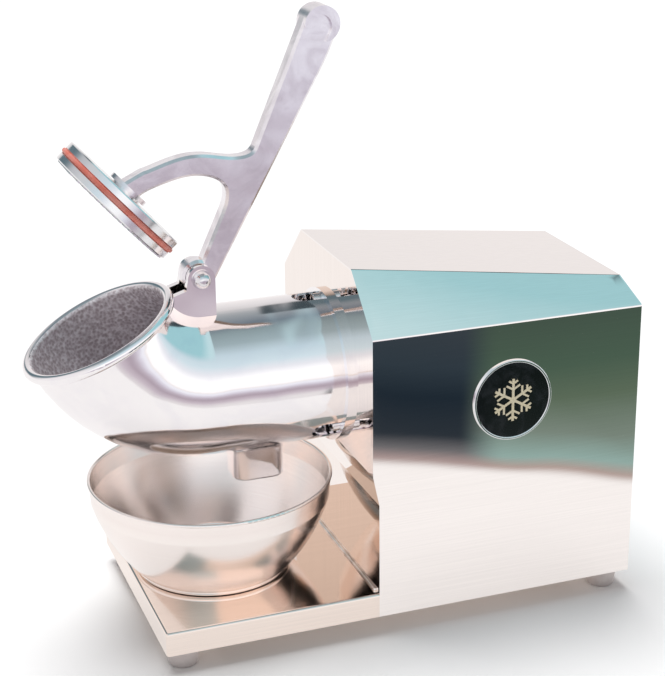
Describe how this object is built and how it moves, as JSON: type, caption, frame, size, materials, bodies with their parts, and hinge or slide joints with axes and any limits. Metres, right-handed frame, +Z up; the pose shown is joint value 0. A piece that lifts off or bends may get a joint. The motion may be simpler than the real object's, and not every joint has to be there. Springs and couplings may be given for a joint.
{
  "type": "electric ice shaver with lever pusher",
  "caption": "Countertop ice shaver: steel motor housing, cast feed elbow, lever with round pusher, discharge chute over a loose bowl on a tray.",
  "frame": {"origin": "middle of the whole length and width, on the surface the feet stand on", "axes": "+Z up, -X towards the mouth of the feed tube, +X towards the rear panel, -Y towards the badge"},
  "size_m": [0.4591, 0.2018, 0.4665],
  "materials": {
    "polished_steel": "mirror polished stainless sheet",
    "cast_aluminium": "polished casting",
    "pusher_metal": "turned and polished",
    "red_rubber": "matte",
    "pale_rubber": "matte",
    "black_rubber": "matte",
    "bowl_steel": "satin",
    "bright_steel": "bright plated",
    "shaft_steel": "ground",
    "disc_steel": "machined",
    "bracket_steel": "zinc plated",
    "motor_paint": "satin grey",
    "bell_aluminium": "as cast",
    "lamination_steel": "bare laminations",
    "copper_wire": "enamelled copper",
    "black_plastic": "moulded",
    "red_plastic": "gloss",
    "brass_pins": "bright",
    "badge_silver": "bright",
    "badge_black": "gloss",
    "badge_gold": "pale gold"
  },
  "bodies": {
    "frame": {"base_pan": "polished_steel", "housing_cover": "polished_steel", "front_panel": "polished_steel", "rear_panel": "polished_steel", "feed_tube": "cast_aluminium", "foot_front_right": "pale_rubber", "foot_front_left": "pale_rubber", "foot_rear_right": "pale_rubber", "foot_rear_left": "pale_rubber", "lip_seal": "black_rubber", "foot_screws": "bright_steel", "foot_nuts": "bright_steel", "rear_panel_screws": "bright_steel", "flange_screws": "bright_steel", "flange_washers": "bright_steel", "flange_bushes": "bright_steel", "hinge_bolt": "bright_steel", "hinge_dome_nut": "bright_steel", "hinge_washers": "bright_steel", "motor_plate_bolts": "bright_steel", "motor_plate_nuts": "bright_steel", "motor_face_screws": "bright_steel", "motor_through_bolts": "bright_steel", "capacitor_clamp_screws": "bright_steel", "inlet_screws": "bright_steel", "bearing_outer_rings": "shaft_steel", "bearing_balls": "shaft_steel", "motor_plate": "bracket_steel", "capacitor_clamp": "bracket_steel", "motor_case": "motor_paint", "motor_front_bell": "bell_aluminium", "motor_rear_bell": "bell_aluminium", "stator_core": "lamination_steel", "stator_windings": "copper_wire", "run_capacitor": "black_plastic", "switch_frame": "black_plastic", "power_inlet": "black_plastic", "inlet_pins": "brass_pins", "badge_rim": "badge_silver", "badge_plate": "badge_black", "badge_emblem": "badge_gold"},
    "lever_body": {"lever": "cast_aluminium", "pusher_rear_plate": "pusher_metal", "pusher_seal": "red_rubber", "pusher_front_plate": "pusher_metal", "pusher_bolt": "bright_steel", "pusher_clamp_screws": "bright_steel"},
    "rotor": {"drive_shaft": "shaft_steel", "blade_disc": "disc_steel", "shaving_blades": "disc_steel", "blade_screws": "bright_steel", "disc_key": "shaft_steel", "disc_washer": "bright_steel", "disc_cap_nut": "bright_steel", "rotor_core": "lamination_steel", "cooling_fan": "black_plastic", "bearing_inner_rings": "shaft_steel"},
    "rocker": {"switch_rocker": "red_plastic"},
    "bowl_body": {"bowl": "bowl_steel"}
  },
  "joints": [
    {"name": "lever_pivot", "type": "hinge", "parent": "frame", "child": "lever_body", "pos_m": [-0.0962, 0, 0.2725], "axis": [0, -1, 0], "range_deg": [0, 120]},
    {"name": "rotor_spin", "type": "hinge", "parent": "frame", "child": "rotor", "pos_m": [-0.08, 0, 0.188], "axis": [1, 0, 0], "continuous": true},
    {"name": "rocker_tilt", "type": "hinge", "parent": "frame", "child": "rocker", "pos_m": [0.2233, 0.052, 0.12], "axis": [0, 1, 0], "range_deg": [0, 24]},
    {"name": "bowl_lift_off", "type": "slide", "parent": "frame", "child": "bowl_body", "axis": [-1, 0, 0], "range_m": [0, 0.03]}
  ]
}
